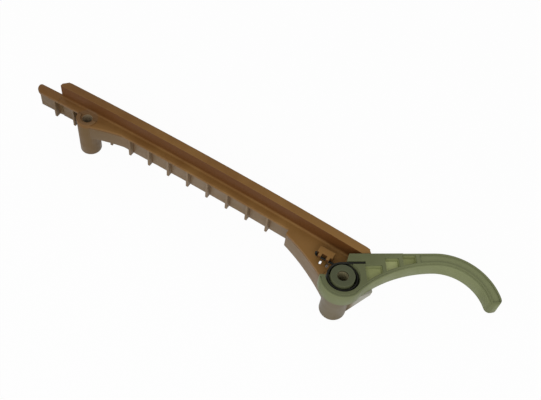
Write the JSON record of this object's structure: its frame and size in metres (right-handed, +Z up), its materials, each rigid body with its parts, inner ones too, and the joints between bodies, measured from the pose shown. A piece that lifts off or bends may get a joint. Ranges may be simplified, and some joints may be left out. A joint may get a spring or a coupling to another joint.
{
  "type": "timing chain guide with sprung tensioner arm",
  "caption": "Bowed moulded chain guide rail with bolt bosses and a ribbed back, carrying a hooked tensioner arm that pivots on one boss against a torsion spring.",
  "frame": {"origin": "on the pivot bolt's axis at the mounting face, the lower end of the pivot boss", "axes": "+Z up along the bolts, +X along the rail towards the arm, +Y to the chain side of the rail"},
  "size_m": [0.3332, 0.0656, 0.0422],
  "materials": {
    "amber_nylon": "moulded, satin, slightly translucent",
    "green_nylon": "moulded, satin, slightly translucent",
    "black_spring_wire": "oiled spring wire"
  },
  "bodies": {
    "guide": {"guide_rail": "amber_nylon", "torsion_spring": "black_spring_wire"},
    "arm": {"tensioner_arm": "green_nylon"}
  },
  "joints": [
    {"name": "arm_pivot", "type": "hinge", "parent": "guide", "child": "arm", "pos_m": [0, 0, 0.036], "axis": [0, 0, 1], "range_deg": [-22, 0], "stiffness_Nm_per_rad": 0.18, "springref_deg": 68.75, "deforming": ["torsion_spring"]}
  ]
}
